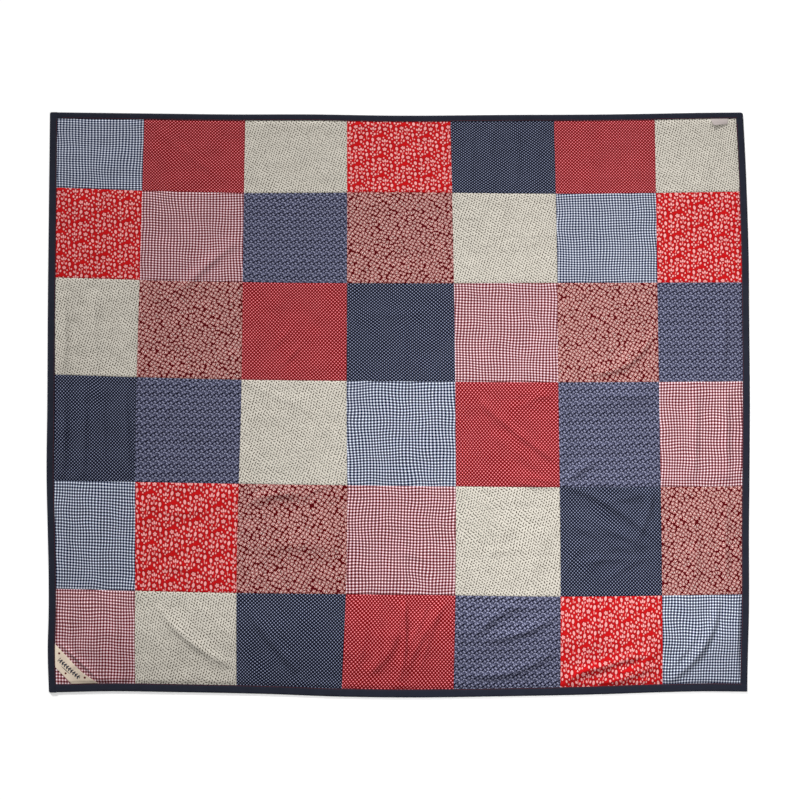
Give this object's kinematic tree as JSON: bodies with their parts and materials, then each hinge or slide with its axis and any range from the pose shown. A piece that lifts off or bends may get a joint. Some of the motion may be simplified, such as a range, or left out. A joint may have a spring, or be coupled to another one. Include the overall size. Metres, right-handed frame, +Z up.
{
  "type": "patchwork blanket",
  "caption": "Rectangular patchwork cotton blanket lying flat, with a dark folded binding, a ribbon sewn across one corner and a small bare care label.",
  "frame": {"origin": "middle of the blanket's underside", "axes": "+X along the long side, +Y towards the blanket's top edge, +Z up through its thickness"},
  "size_m": [1.5002, 1.2482, 0.0068],
  "materials": {
    "patchwork": "matte",
    "binding": "matte",
    "ribbon": "matte",
    "label": "satin"
  },
  "bodies": {
    "root": {"blanket_panel": "patchwork", "binding_left": "binding", "binding_right": "binding", "binding_top": "binding", "binding_bottom": "binding", "corner_ribbon": "ribbon", "care_label": "label"}
  },
  "joints": []
}
